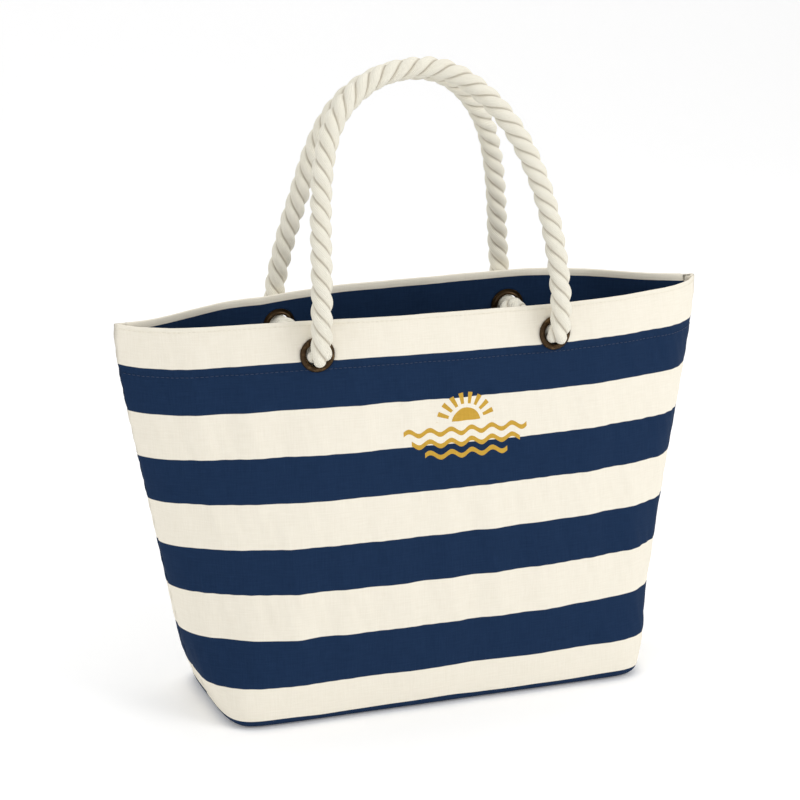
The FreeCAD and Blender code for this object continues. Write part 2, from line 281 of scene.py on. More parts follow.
def carried_frames(line):
    """At each point two directions square to the line, carried along without twisting."""
    tangent = np.gradient(line, axis=0)
    tangent /= np.linalg.norm(tangent, axis=1)[:, None]
    side = np.cross(tangent[0], (1.0, 0.1, 0.0))
    sides = []
    for direction in tangent:
        side = side - direction * np.dot(side, direction)
        side /= np.linalg.norm(side)
        sides.append(side)
    sides = np.array(sides)
    return sides, np.cross(tangent, sides)


# %% A grid placed by formula
def shaped_grid(name, places, uvs, material, closed=False, kept=None, hollow=None, smooth=True):
    """A grid whose vertex in row j and column i goes to places[j, i], with a UV map in metres. A
    closed one is a tube: its first and last columns are merged and its ends are filled."""
    rows, columns = places.shape[:2]
    bm = bmesh.new()
    bmesh.ops.create_grid(bm, x_segments=columns - 1, y_segments=rows - 1, size=1.0)
    layer = bm.loops.layers.uv.new("cloth")
    depth = bm.verts.layers.float.new("hollow")
    where = {}
    for v in bm.verts:
        i = round((v.co.x + 1) / 2 * (columns - 1))
        j = round((v.co.y + 1) / 2 * (rows - 1))
        where[v] = (j, i)
    for face in bm.faces:
        for loop in face.loops:
            loop[layer].uv = uvs[where[loop.vert]]
    for v, (j, i) in where.items():
        v.co = places[j, i]
        if hollow is not None:
            v[depth] = hollow[j, i]
    if kept is not None:
        unwanted = [v for v, at in where.items() if not kept[at]]
        bmesh.ops.delete(bm, geom=unwanted, context="VERTS")
    if closed:
        bmesh.ops.remove_doubles(bm, verts=bm.verts, dist=1e-6)
        rims = [e for e in bm.edges if len(e.link_faces) == 1]
        bmesh.ops.holes_fill(bm, edges=rims, sides=0)
        bmesh.ops.recalc_face_normals(bm, faces=bm.faces)
    return new_object(name, bm, material, smooth)


# %% Three strands twisted together
LAY = 0.045
STRAND_OUT, STRAND_RADIUS = 0.0037, 0.0056


def three_strand(name, line, material, scale=None, lay=LAY, around=42, turn=0.0):
    """A twisted rope along a line. The section is the outline of three round strands."""
    sides, ups = carried_frames(line)
    run = np.concatenate([[0], np.cumsum(np.linalg.norm(np.diff(line, axis=0), axis=1))])
    scale = np.ones(len(line)) if scale is None else scale
    across = np.linspace(0, 2 * math.pi, around + 1)
    angles = across[None, :] + (turn - run / lay * 2 * math.pi)[:, None]
    from_crown = np.mod(across + 1e-9, 2 * math.pi / 3) - math.pi / 3
    off = np.broadcast_to(from_crown, angles.shape)
    radius = STRAND_OUT * np.cos(off) + np.sqrt(STRAND_RADIUS ** 2 - (STRAND_OUT * np.sin(off)) ** 2)
    # how deep each point lies in a groove between strands, which the rope's finish uses for painted shade
    hollow = np.clip((0.0076 - radius) / 0.0014, 0, 1)
    radius = radius * scale[:, None]
    places = line[:, None, :] + radius[:, :, None] * (
        np.cos(angles)[:, :, None] * sides[:, None, :] + np.sin(angles)[:, :, None] * ups[:, None, :])
    uvs = np.zeros((len(line), around + 1, 2))
    uvs[:, :, 0] = angles / (2 * math.pi)
    uvs[:, :, 1] = run[:, None]
    places[:, -1] = places[:, 0]
    return shaped_grid(name, places, uvs, material, closed=True, hollow=hollow)


print("rope section out to", round(STRAND_OUT + STRAND_RADIUS, 4), "m, grooves in to",
      round(STRAND_OUT / 2 + math.sqrt(STRAND_RADIUS ** 2 - 0.75 * STRAND_OUT ** 2), 4), "m")

# %% [markdown]
# ## Finishes
# Woven and twisted cotton share two effects, so each is a node group, built once: a plain weave
# and a bundle of fibres. A group puts out a height for bumps and a shade that varies the colour.

# %% Node helpers
def node(tree, kind, **inputs):
    """Adds a node. A value given by name or socket number is set, and a socket is linked."""
    made = tree.nodes.new(kind)
    for key, value in inputs.items():
        socket = made.inputs[int(key[1:])] if key[0] == "_" else made.inputs[key.replace("_", " ")]
        if isinstance(value, bpy.types.NodeSocket):
            tree.links.new(value, socket)
        else:
            socket.default_value = value
    return made


def maths(tree, operation, *values):
    made = node(tree, "ShaderNodeMath", **{f"_{k}": value for k, value in enumerate(values)})
    made.operation = operation
    return made.outputs[0]


def mixed(tree, factor, first, second):
    """One colour or the other, by a factor."""
    made = tree.nodes.new("ShaderNodeMix")
    made.data_type = "RGBA"
    for socket, value in ((made.inputs[0], factor), (made.inputs[6], first), (made.inputs[7], second)):
        if isinstance(value, bpy.types.NodeSocket):
            tree.links.new(value, socket)
        else:
            socket.default_value = value
    return made.outputs[2]


def new_group(name, inputs, outputs):
    """A shader node group with named sockets: values, vectors or colours."""
    group = bpy.data.node_groups.new(name, "ShaderNodeTree")
    for label, kind in inputs:
        group.interface.new_socket(label, in_out="INPUT", socket_type=kind)
    for label, kind in outputs:
        group.interface.new_socket(label, in_out="OUTPUT", socket_type=kind)
    return group, group.nodes.new("NodeGroupInput"), group.nodes.new("NodeGroupOutput")


def grouped(tree, group, **inputs):
    """A group placed in a material, with its values or links."""
    made = tree.nodes.new("ShaderNodeGroup")
    made.node_tree = group
    for key, value in inputs.items():
        socket = made.inputs[key.replace("_", " ")]
        if isinstance(value, bpy.types.NodeSocket):
            tree.links.new(value, socket)
        else:
            socket.default_value = value
    return made


def cloth_map(tree):
    """The piece's own UV map, in metres."""
    made = tree.nodes.new("ShaderNodeUVMap")
    made.uv_map = "cloth"
    return made.outputs["UV"]


def bumped(tree, shader, height, strength, distance):
    made = node(tree, "ShaderNodeBump", Strength=strength, Distance=distance, Height=height)
    tree.links.new(made.outputs["Normal"], shader.inputs["Normal"])


# %% Plain weave
weave, enter, leave = new_group(
    "plain weave", [("Cloth", "NodeSocketVector"), ("Pitch", "NodeSocketFloat")],
    [("Height", "NodeSocketFloat"), ("Shade", "NodeSocketFloat")])
threads = node(weave, "ShaderNodeSeparateXYZ", Vector=enter.outputs["Cloth"])
picks_across = maths(weave, "DIVIDE", threads.outputs[0], enter.outputs["Pitch"])
picks_down = maths(weave, "DIVIDE", threads.outputs[1], enter.outputs["Pitch"])
turns_across = maths(weave, "MULTIPLY", picks_across, math.pi)
turns_down = maths(weave, "MULTIPLY", picks_down, math.pi)
over = maths(weave, "MULTIPLY", maths(weave, "SINE", turns_across), maths(weave, "SINE", turns_down))
slub_place = node(weave, "ShaderNodeMapping", Vector=enter.outputs["Cloth"], Scale=(60.0, 900.0, 1.0))
slubs = node(weave, "ShaderNodeTexNoise", Vector=slub_place.outputs[0], Scale=1.0, Detail=2.0)
warp_place = node(weave, "ShaderNodeMapping", Vector=enter.outputs["Cloth"], Scale=(900.0, 60.0, 1.0))
warps = node(weave, "ShaderNodeTexNoise", Vector=warp_place.outputs[0], Scale=1.0, Detail=2.0)
uneven = maths(weave, "ADD", slubs.outputs[0], warps.outputs[0])
weave.links.new(maths(weave, "ADD", maths(weave, "MULTIPLY", over, 0.5), uneven), leave.inputs["Height"])
weave.links.new(maths(weave, "MULTIPLY", uneven, 0.5), leave.inputs["Shade"])
print("weave group:", len(weave.nodes), "nodes")

# %% Fibres
fibre, enter, leave = new_group(
    "cotton fibre", [("Along", "NodeSocketVector"), ("Yarns", "NodeSocketFloat")],
    [("Height", "NodeSocketFloat"), ("Shade", "NodeSocketFloat")])
parts = node(fibre, "ShaderNodeSeparateXYZ", Vector=enter.outputs["Along"])
lean = maths(fibre, "MULTIPLY", parts.outputs[1], 18.0)
yarn_turn = maths(fibre, "MULTIPLY", maths(fibre, "ADD", parts.outputs[0], lean), enter.outputs["Yarns"])
yarns = maths(fibre, "SINE", maths(fibre, "MULTIPLY", yarn_turn, 2 * math.pi))
fuzz_place = node(fibre, "ShaderNodeMapping", Vector=enter.outputs["Along"], Scale=(160.0, 700.0, 1.0))
fuzz = node(fibre, "ShaderNodeTexNoise", Vector=fuzz_place.outputs[0], Scale=1.0, Detail=3.0)
patch_place = node(fibre, "ShaderNodeMapping", Vector=enter.outputs["Along"], Scale=(4.0, 60.0, 1.0))
patches = node(fibre, "ShaderNodeTexNoise", Vector=patch_place.outputs[0], Scale=1.0, Detail=2.0)
height = maths(fibre, "ADD", maths(fibre, "MULTIPLY", yarns, 0.45), fuzz.outputs[0])
fibre.links.new(height, leave.inputs["Height"])
half_patches = maths(fibre, "MULTIPLY", patches.outputs[0], 0.5)
shade = maths(fibre, "ADD", half_patches, maths(fibre, "MULTIPLY", fuzz.outputs[0], 0.5))
fibre.links.new(shade, leave.inputs["Shade"])
print("fibre group:", len(fibre.nodes), "nodes")

# %% [markdown]
# Cotton rope is cream. In the grooves between the strands, where fibres shade each other, its
# colour is painted warmer and darker: painted shade. The grid carries an attribute that says how
# deep each point lies in a groove, and that depth sets how much shade is painted. The twine that
# binds the tips and the thread in the seams are the same cotton, waxed and tighter.

# %% Rope and twine
CREAM = (0.86, 0.81, 0.68, 1)


def cotton_rope():
    material, tree, shader = plain_material("cotton_rope", CREAM[:3], 0.9)
    along = cloth_map(tree)
    fibres = grouped(tree, fibre, Along=along, Yarns=30.0)
    groove = tree.nodes.new("ShaderNodeAttribute")
    groove.attribute_name = "hollow"
    tinted = mixed(tree, fibres.outputs["Shade"], (0.84, 0.79, 0.65, 1), (1.0, 0.97, 0.86, 1))
    # painted shade: the deeper a point lies in a groove, the more its colour turns to a dark warm brown
    dark = maths(tree, "MULTIPLY", groove.outputs["Fac"], 0.85)
    tree.links.new(mixed(tree, dark, tinted, (0.42, 0.35, 0.25, 1)), shader.inputs["Base Color"])
    shader.inputs["Sheen Weight"].default_value = 0.15
    shader.inputs["Specular IOR Level"].default_value = 0.2
    bumped(tree, shader, fibres.outputs["Height"], 0.8, 0.0006)
    return material


def waxed_twine():
    material, tree, shader = plain_material("whipping_twine", (0.80, 0.74, 0.60), 0.6)
    fibres = grouped(tree, fibre, Along=cloth_map(tree), Yarns=8.0)
    tree.links.new(mixed(tree, fibres.outputs["Shade"], (0.62, 0.56, 0.43, 1), (0.86, 0.80, 0.66, 1)),
                   shader.inputs["Base Color"])
    bumped(tree, shader, fibres.outputs["Height"], 0.4, 0.0002)
    return material


rope_finish = cotton_rope()
twine_finish = waxed_twine()
print("rope and twine ready")

# %% [markdown]
# The canvas is woven in wide cream and navy stripes, and both faces show them. The stripe is
# worked out from the cloth's own map, whose V runs down from the rim: every 40 millimetres it
# changes, and under the bag it stays navy. The gold print lies flat on it: a half sun with rays
# over three waves, from the same map.

# %% Stripes and print
BASE_DYE = 0.3428


def striped_canvas():
    material, tree, shader = plain_material("striped_canvas", CREAM[:3], 0.85)
    cloth = cloth_map(tree)
    woven = grouped(tree, weave, Cloth=cloth, Pitch=0.0007)
    places = node(tree, "ShaderNodeSeparateXYZ", Vector=cloth)
    across, down = places.outputs[0], places.outputs[1]
    drift = node(tree, "ShaderNodeTexNoise", Vector=cloth, Scale=14.0, Detail=1.0)
    wander = maths(tree, "MULTIPLY", maths(tree, "SUBTRACT", drift.outputs[0], 0.5), 0.0012)
    row = maths(tree, "SUBTRACT", maths(tree, "ADD", down, wander), 0.0545)
    from_navy = maths(tree, "PINGPONG", row, 0.04)
    striped = node(tree, "ShaderNodeMapRange", Value=from_navy, From_Min=0.0202, From_Max=0.0198).outputs[0]
    under_edge = maths(tree, "ADD", down, maths(tree, "MULTIPLY", wander, 5.0))
    under = maths(tree, "GREATER_THAN", under_edge, BASE_DYE)
    navy = maths(tree, "MAXIMUM", striped, under)
    cream = mixed(tree, woven.outputs["Shade"], (0.77, 0.715, 0.595, 1), (0.92, 0.875, 0.77, 1))
    blue = mixed(tree, woven.outputs["Shade"], (0.004, 0.016, 0.048, 1), (0.014, 0.036, 0.090, 1))
    dyed = mixed(tree, navy, cream, blue)

    x = maths(tree, "SUBTRACT", across, 0.020)
    y = maths(tree, "SUBTRACT", 0.099, down)
    above = maths(tree, "GREATER_THAN", y, 0.004)
    rise = maths(tree, "SUBTRACT", y, 0.002)
    squares = maths(tree, "ADD", maths(tree, "MULTIPLY", x, x), maths(tree, "MULTIPLY", rise, rise))
    far = maths(tree, "SQRT", squares)
    disc = maths(tree, "LESS_THAN", far, 0.0135)
    spoke = maths(tree, "COSINE", maths(tree, "MULTIPLY", maths(tree, "ARCTAN2", rise, x), 18.0))
    past_gap = maths(tree, "GREATER_THAN", far, 0.017)
    ray_ring = maths(tree, "MULTIPLY", past_gap, maths(tree, "LESS_THAN", far, 0.027))
    rays = maths(tree, "MULTIPLY", ray_ring, maths(tree, "GREATER_THAN", spoke, 0.1))
    sun = maths(tree, "MULTIPLY", above, maths(tree, "MAXIMUM", disc, rays))
    print_mask = sun
    for drop, reach in ((0.0045, 0.057), (0.0145, 0.050), (0.0245, 0.038)):
        phase = maths(tree, "MULTIPLY", x, 2 * math.pi / 0.019)
        swell = maths(tree, "MULTIPLY", maths(tree, "SINE", phase), 0.0022)
        gap = maths(tree, "ABSOLUTE", maths(tree, "SUBTRACT", maths(tree, "ADD", y, drop), swell))
        near = maths(tree, "LESS_THAN", gap, 0.0021)
        inside = maths(tree, "LESS_THAN", maths(tree, "ABSOLUTE", x), reach)
        print_mask = maths(tree, "MAXIMUM", print_mask, maths(tree, "MULTIPLY", near, inside))
    gold = mixed(tree, woven.outputs["Shade"], (0.44, 0.25, 0.025, 1), (0.68, 0.42, 0.065, 1))
    coloured = mixed(tree, print_mask, dyed, gold)
    tree.links.new(coloured, shader.inputs["Base Color"])
    rough = maths(tree, "SUBTRACT", 0.88, maths(tree, "MULTIPLY", print_mask, 0.33))
    tree.links.new(rough, shader.inputs["Roughness"])
    shader.inputs["Specular IOR Level"].default_value = 0.1
    bumped(tree, shader, woven.outputs["Height"], 0.35, 0.0003)
    return material


canvas_finish = striped_canvas()
print("canvas nodes:", len(canvas_finish.node_tree.nodes))

# %% Tape and brass
def binding_tape():
    material, tree, shader = plain_material("seam_tape", CREAM[:3], 0.9)
    woven = grouped(tree, weave, Cloth=cloth_map(tree), Pitch=0.0005)
    tree.links.new(mixed(tree, woven.outputs["Shade"], (0.74, 0.69, 0.57, 1), (0.90, 0.86, 0.75, 1)),
                   shader.inputs["Base Color"])
    bumped(tree, shader, woven.outputs["Height"], 0.5, 0.0002)
    return material


def antique_brass():
    material, tree, shader = plain_material("antique_brass", (0.05, 0.03, 0.015), 0.36)
    place = tree.nodes.new("ShaderNodeTexCoord").outputs["Object"]
    cloud = node(tree, "ShaderNodeTexNoise", Vector=place, Scale=160.0, Detail=5.0)
    speck = node(tree, "ShaderNodeTexNoise", Vector=place, Scale=900.0, Detail=2.0)
    rubbed = node(tree, "ShaderNodeMapRange", Value=cloud.outputs[0], From_Min=0.50, From_Max=0.72).outputs[0]
    tree.links.new(mixed(tree, rubbed, (0.055, 0.034, 0.018, 1), (0.20, 0.125, 0.06, 1)),
                   shader.inputs["Base Color"])
    rough = maths(tree, "ADD", 0.26, maths(tree, "MULTIPLY", cloud.outputs[0], 0.25))
    tree.links.new(rough, shader.inputs["Roughness"])
    shader.inputs["Metallic"].default_value = 1.0
    bumped(tree, shader, speck.outputs[0], 0.12, 0.0002)
    return material


def thread(name, dark, light):
    material, tree, shader = plain_material(name, light[:3], 0.6)
    fibres = grouped(tree, fibre, Along=cloth_map(tree), Yarns=4.0)
    tree.links.new(mixed(tree, fibres.outputs["Shade"], dark, light), shader.inputs["Base Color"])
    bumped(tree, shader, fibres.outputs["Height"], 0.3, 0.0001)
    return material


tape_finish = binding_tape()
cream_thread = thread("cream_thread", (0.70, 0.65, 0.53, 1), (0.90, 0.86, 0.75, 1))
navy_thread = thread("navy_thread", (0.006, 0.018, 0.055, 1), (0.025, 0.050, 0.115, 1))
brass_finish = antique_brass()
for label, cad_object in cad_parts.items():
    if label.endswith(("eyelet", "washer")):
        cad_object.data.materials.clear()
        cad_object.data.materials.append(brass_finish)
print("brass on", sum(label.endswith(("eyelet", "washer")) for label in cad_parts), "pieces")

# %% [markdown]
# ## The handles
# Each handle's rope is held in the eyelets and swings above them. Here each rope is built where
# it stands, along its line, in place of the imported handle rope, which is hidden.

# %% Handle ropes
for label, points, side in (("front", front_line, -1), ("back", back_line, 1)):
    rope = three_strand(label + "_rope", points, rope_finish, turn=0.6 if side < 0 else 1.9)
    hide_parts(label + "_handle_rope")
    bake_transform(rope)
    print(rope.name, "faces:", len(rope.data.polygons))

# %% [markdown]
# Inside the bag each end of rope is tied in an overhand knot, which bears on the washer, and its
# tail hangs down with its tip bound in twine. The knot is one line: in from the eyelet, round in
# three lobes and out below, with the rope a little thinner where the knot squeezes it.

# %% Knots and tails
KNOT_Y = -0.0333
KNOT_LOBES = [
    (0.0, -0.0200, 0.0), (0.0, -0.0120, -0.0010), (-0.0040, -0.0080, 0.0010), (0.0030, -0.0060, 0.0028),
    (0.0090, -0.0020, -0.0040), (0.0100, 0.0040, -0.0140), (0.0020, 0.0080, -0.0210),
    (-0.0080, 0.0060, -0.0170), (-0.0100, 0.0, -0.0070), (-0.0040, -0.0030, 0.0015),
    (0.0040, 0.0020, -0.0020), (0.0060, 0.0070, -0.0100), (0.0030, 0.0030, -0.0200), (0.0, 0.0, -0.0290),
    (0.0008, 0.0, -0.0400), (0.0, 0.0, -0.0530),
]


def tail_shape(line, centre_z):
    """How thick the rope is along the knot and tail: squeezed in the knot, bound near the tip."""
    drop = centre_z - line[:, 2]
    squeezed = np.interp(drop, [0.018, 0.028], [0.84, 1.0])
    bound = np.interp(drop, [0.030, 0.036, 0.045, 0.047, 0.051, 0.0535], [1.0, 0.93, 0.93, 1.06, 1.0, 0.45])
    return np.where(drop > 0.026, bound, squeezed)


def wrapped_twine(name, centre, top, height, radius, thread):
    """Twine wound round a rope: a stack of turns, each one spun from a small circle."""
    bm = bmesh.new()
    for k in range(int(height / (thread * 1.9))):
        ring = bmesh.ops.create_circle(bm, segments=6, radius=thread,
                                       matrix=Matrix.Translation((radius, 0, top - thread - k * thread * 1.9))
                                       @ Matrix.Rotation(math.pi / 2, 4, "X"))
        circle = list(ring["verts"]) + list({e for v in ring["verts"] for e in v.link_edges})
        bmesh.ops.spin(bm, geom=circle, cent=(0, 0, 0), axis=(0, 0, 1), angle=2 * math.pi, steps=28,
                       use_merge=True, use_duplicate=False)
    bmesh.ops.remove_doubles(bm, verts=bm.verts, dist=1e-6)
    bmesh.ops.recalc_face_normals(bm, faces=bm.faces)
    bmesh.ops.translate(bm, verts=bm.verts, vec=centre)
    layer = bm.loops.layers.uv.new("cloth")
    for face in bm.faces:
        for loop in face.loops:
            place = loop.vert.co
            turned = math.atan2(place.y - centre[1], place.x - centre[0])
            loop[layer].uv = (place.z * 60, turned * radius)
    return new_object(name, bm, twine_finish)


for face_name, flip in (("front", False), ("back", True)):
    for hand, side in (("left", -1), ("right", 1)):
        knot_points = [(side * EYELET_X - side * x, KNOT_Y + y, EYELET_Z + z) for x, y, z in KNOT_LOBES]
        knot_points = np.array(knot_points)
        if flip:
            knot_points = knot_points * np.array([1, -1, 1])
        knot_line = smooth_line([tuple(p) for p in knot_points], 0.0016)
        knot = three_strand(f"{face_name}_{hand}_knot", knot_line, rope_finish,
                            scale=tail_shape(knot_line, EYELET_Z), turn=1.1 * side + flip)
        tail_centre = (side * EYELET_X, KNOT_Y * (-1 if flip else 1), 0)
        twine = wrapped_twine(f"{face_name}_{hand}_twine", tail_centre, EYELET_Z - 0.0362,
                              height=0.0090, radius=0.0088, thread=0.0006)
        for piece, slot in ((knot, "cotton_rope"), (twine, "whipping_twine")):
            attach(piece, "bag")
        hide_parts(f"{face_name}_{hand}_rope_end")
        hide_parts(f"{face_name}_{hand}_whipping")

# %% [markdown]
# ## The panels
# A panel is one grid of cloth. From its hem's raw edge inside it goes up, folds over at the rim,
# comes down the wall, rolls under and runs in to the seam along the middle of the base. The wall
# is not left smooth: it sags in broad shallow waves, lies flat under the brass, and puckers a
# little along the seams.

# %% Rows of a panel
SHARES = np.linspace(0, 1, 141)
ALLOWANCE = (0.0095, 0.0045)


def panel_rows():
    """For each row its height, how far inside the outer face it lies, and its place on the cloth."""
    rows = [(z, 0.0018, z - HEIGHT) for z in np.linspace(HEIGHT - HEM, HEIGHT - 0.0012, 12)]
    rows += [(HEIGHT - 0.0006, 0.0012, 0.0)]
    rows += [(z, 0.0006, HEIGHT - z) for z in np.linspace(HEIGHT - 0.0012, ROLL, 86)]
    for turn in np.linspace(0, math.pi / 2, 7)[1:]:
        radius = ROLL - 0.0006
        inset = 0.0006 + radius * (1 - math.cos(turn))
        rows.append((ROLL - radius * math.sin(turn), inset, HEIGHT - ROLL + radius * turn))
    return rows


ROWS = panel_rows()
print("rows of the wall:", len(ROWS), "last at", round(ROWS[-1][2], 4), "m from the rim")

# %% How the cloth sags
def wave(a, b, seed):
    """A smooth mix of slow waves over the cloth, between about -1 and 1, the same on every run."""
    picks = np.random.default_rng(seed)
    total = np.zeros_like(a)
    for _ in range(7):
        fa, fb = picks.uniform(4, 17), picks.uniform(3, 13)
        total += picks.uniform(0.5, 1) * np.sin(fa * a * math.pi + picks.uniform(0, 6.3)
                                                + fb * b * picks.choice([-1, 1]))
    return total / 3.2


def ease(value, start, end):
    share = np.clip((value - start) / (end - start), 0, 1)
    return share * share * (3 - 2 * share)


def sag(along, height, from_seam, from_eyelet, seed):
    """How far the wall stands out at each point, in metres."""
    free = ease(from_seam, 0.0, 0.05) * ease(from_eyelet, 0.017, 0.05)
    wall = ease(height, 0.012, 0.06) * (1 - 0.55 * ease(height, 0.29, 0.345))
    broad = 0.0017 * wave(along * 3.2, height * 2.4, seed)
    folds = 0.0007 * wave(along * 9.0 + height * 3.0, height * 6.0, seed + 1)
    foot_buckle = 0.0010 * np.exp(-((height - 0.035) / 0.022) ** 2) * np.sin(along * 62 + seed)
    pucker = 0.00045 * np.sin(height * 2 * math.pi / 0.017 + seed) * np.exp(-from_seam / 0.012)
    press = -0.0004 * (1 - ease(from_eyelet, 0.0155, 0.024))
    rim_wave = 0.0011 * np.sin(along * 34 + seed) * ease(height, 0.30, 0.35) * ease(from_eyelet, 0.02, 0.06)
    drag = -0.0016 * np.exp(-(from_eyelet / 0.045) ** 2) * ease(from_eyelet, 0.016, 0.03)
    return free * (wall * (broad + folds) + foot_buckle + rim_wave) + pucker + press + drag


# %% Places of a panel's points
# How high the rim stands along the bag, as places from the left seam to the right one and the
# rise at each, and then over what length from each seam the rim is pinched shut
FRONT_RISE = (
    [-0.268, -0.260, -0.249, -0.225, -0.206, -0.165, -0.122, -0.036,
     0.056, 0.124, 0.165, 0.201, 0.235, 0.259, 0.268],
    [0.0, -0.0015, -0.0026, -0.0030, -0.0020, 0.0, 0.0010, -0.0002,
     -0.0018, -0.0033, -0.0032, -0.0029, -0.0033, -0.0034, -0.0010])
BACK_RISE = (
    [-0.268, -0.261, -0.240, -0.169, -0.150, -0.125, -0.067,
     -0.010, 0.049, 0.090, 0.124, 0.168, 0.235, 0.268],
    [0.0, 0.0004, 0.0018, 0.0032, 0.0044, 0.0052, 0.0042,
     0.0030, 0.0032, 0.0015, -0.0007, 0.0, -0.0005, 0.0])
FRONT_PINCH = (0.004, 0.004)
BACK_PINCH = (0.11, 0.15)


def panel_places(seed, rim_rise, pinched):
    """Every point of the front panel's grid, its cloth map and which points are kept."""
    base_steps = 17
    count = len(SHARES)
    rows = len(ROWS) + base_steps
    wide = len(SHARES) + 2 * len(ALLOWANCE)
    places = np.zeros((rows, wide, 3))
    uvs = np.zeros((rows, wide, 2))
    kept = np.ones((rows, wide), bool)
    normals = np.zeros((rows, wide, 3))
    for j, (z, inset, down) in enumerate(ROWS):
        flat, out = wall_points(max(z, ROLL), SHARES, 0.0)
        width = curve_length(wall_outline(max(z, ROLL)))
        from_seam = np.minimum(SHARES, 1 - SHARES) * width
        from_eyelet = np.min([np.hypot(flat[:, 0] - ex, z - ez) for ex, ez in EYELETS], axis=0)
        lift = sag((SHARES - 0.5) * width, np.full(count, z), from_seam, from_eyelet, seed)
        flat = flat + out * (lift - inset)[:, None]
        near_rim = ease(np.full(count, z), 0.24, HEIGHT)
        pinch = np.where(flat[:, 0] < 0, ease(from_seam, 0.0, pinched[0]), ease(from_seam, 0.0, pinched[1]))
        flat[:, 1] = np.minimum(flat[:, 1] * (1 - near_rim * (1 - pinch)), -0.0006)
        rise = np.interp(flat[:, 0], *rim_rise) * ease(np.full(count, z), 0.15, 0.31)
        places[j, 2:-2] = np.column_stack([flat, z + rise])
        normals[j, 2:-2, :2] = out
        uvs[j, :, 1] = down
        uvs[j, 2:-2, 0] = (SHARES - 0.5) * width
        for k, depth in enumerate(ALLOWANCE):
            for column, end, sign in ((k, 2, 1), (wide - 1 - k, wide - 3, -1)):
                places[j, column] = (places[j, end, 0] + sign * depth, -0.0007, places[j, end, 2])
                uvs[j, column, 0] = uvs[j, end, 0] - sign * depth
        if down < 0:
            kept[j, :2] = kept[j, -2:] = False
    last = len(ROWS) - 1
    edge = places[last, 2:-2]
    side_wall = np.abs(edge[:, 1]) < 0.052
    flat, out = wall_points(ROLL, SHARES, ROLL)
    for k in range(1, base_steps + 1):
        share = k / base_steps
        row = edge.copy()
        row[:, 1] = edge[:, 1] * (1 - share) - 0.0006 * share
        turned_in = edge[:, :2] - out * 0.004 * k
        row[side_wall, :2] = turned_in[side_wall]
        row[side_wall, 1] = np.minimum(row[side_wall, 1], -0.0006)
        row[side_wall, 2] = 0.0019
        places[last + k, 2:-2] = row
        uvs[last + k, 2:-2] = uvs[last, 2:-2] + np.column_stack([np.zeros(count), np.full(count, 0.004 * k)])
        kept[last + k, 2:-2] = ~side_wall if k > 2 else True
        kept[last + k, :2] = kept[last + k, -2:] = False
        normals[last + k, :, 2] = -1
    return places, uvs, kept, normals


front_grid = panel_places(3, FRONT_RISE, FRONT_PINCH)
back_grid = panel_places(8, BACK_RISE, BACK_PINCH)
widest = float(np.abs(front_grid[0][..., 0]).max())
print("panel grid:", front_grid[0].shape[:2], "points, widest", round(widest, 4))

# %% Cut the eyelets' holes and finish a panel
HOLE = 0.0125


def open_holes(obj, sign):
    """Takes out the cloth inside each eyelet and draws the edge back to a clean circle."""
    bm = bmesh.new()
    bm.from_mesh(obj.data)
    for x, z in EYELETS:
        gone = [f for f in bm.faces if f.calc_center_median().z > 0.30
                and math.hypot(f.calc_center_median().x * -sign - x, f.calc_center_median().z - z) < HOLE]
        bmesh.ops.delete(bm, geom=gone, context="FACES")
        for v in bm.verts:
            away = math.hypot(v.co.x * -sign - x, v.co.z - z)
            if v.is_boundary and 0.0 < away < HOLE + 0.004 and v.co.z > 0.307:
                v.co.x = -sign * (x + (v.co.x * -sign - x) * HOLE / away)
                v.co.z = z + (v.co.z - z) * HOLE / away
    bm.to_mesh(obj.data)
    bm.free()


def sewn_panel(name, grid, sign):
    """A panel on the front (sign -1) or the back (sign 1), with the cloth's thickness."""
    places, uvs, kept, _ = grid
    if sign > 0:
        places = turned_round(places)
        uvs = uvs + np.array([1.5, 0.0012])
    panel = shaped_grid(name, places, uvs, canvas_finish, kept=kept)
    bm = bmesh.new()
    bm.from_mesh(panel.data)
    bmesh.ops.reverse_faces(bm, faces=bm.faces)
    bm.to_mesh(panel.data)
    bm.free()
    open_holes(panel, sign)
    area = sum(f.area for f in panel.data.polygons)
    thick = panel.modifiers.new("cloth", "SOLIDIFY")
    thick.thickness = 0.00105
    thick.offset = 0.0
    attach(panel, "bag")
    return panel, area


for label, grid, sign in (("front", front_grid, -1), ("back", back_grid, 1)):
    panel, area = sewn_panel(label + "_canvas", grid, sign)
    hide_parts(label + "_panel")
    print(panel.name, "cloth area", round(area, 4), "m2")

# %% [markdown]
# ## Tape and thread
# The raw edges inside are bound with folded tape: one length down each side seam, one along the
# base and one across each base end. Thread is the smallest piece: each stitch is a short rounded
# bar that sinks into the cloth at both ends. One row of them is one object.

# %% Binding tapes
def tape_along(name, line, width_way, width, thickness, replaced):
    """A soft flat tape that follows a line. Its section is a rounded bar."""
    around = 16
    angles = np.linspace(0, 2 * math.pi, around + 1)
    tangent = np.gradient(line, axis=0)
    tangent /= np.linalg.norm(tangent, axis=1)[:, None]
    width_way = np.array(width_way, float)
    across = width_way - tangent * (tangent @ width_way)[:, None]
    across /= np.linalg.norm(across, axis=1)[:, None]
    up = np.cross(tangent, across)
    c, s = np.cos(angles), np.sin(angles)
    u = np.sign(c) * np.abs(c) ** 0.35 * width / 2
    v = np.sign(s) * np.abs(s) ** 0.6 * thickness / 2
    places = line[:, None, :] + u[None, :, None] * across[:, None, :] + v[None, :, None] * up[:, None, :]
    places[:, -1] = places[:, 0]
    run = np.concatenate([[0], np.cumsum(np.linalg.norm(np.diff(line, axis=0), axis=1))])
    uvs = np.zeros((len(line), around + 1, 2))
    uvs[:, :, 0] = np.linspace(0, 2 * (width + thickness), around + 1)[None, :]
    uvs[:, :, 1] = run[:, None]
    tape = shaped_grid(name, places, uvs, tape_finish, closed=True)
    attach(tape, "bag")
    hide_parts(replaced)
    return tape


def wobble(count, seed, size):
    picks = np.random.default_rng(seed)
    knots = picks.uniform(-size, size, 9)
    return np.interp(np.linspace(0, 8, count), np.arange(9), knots)


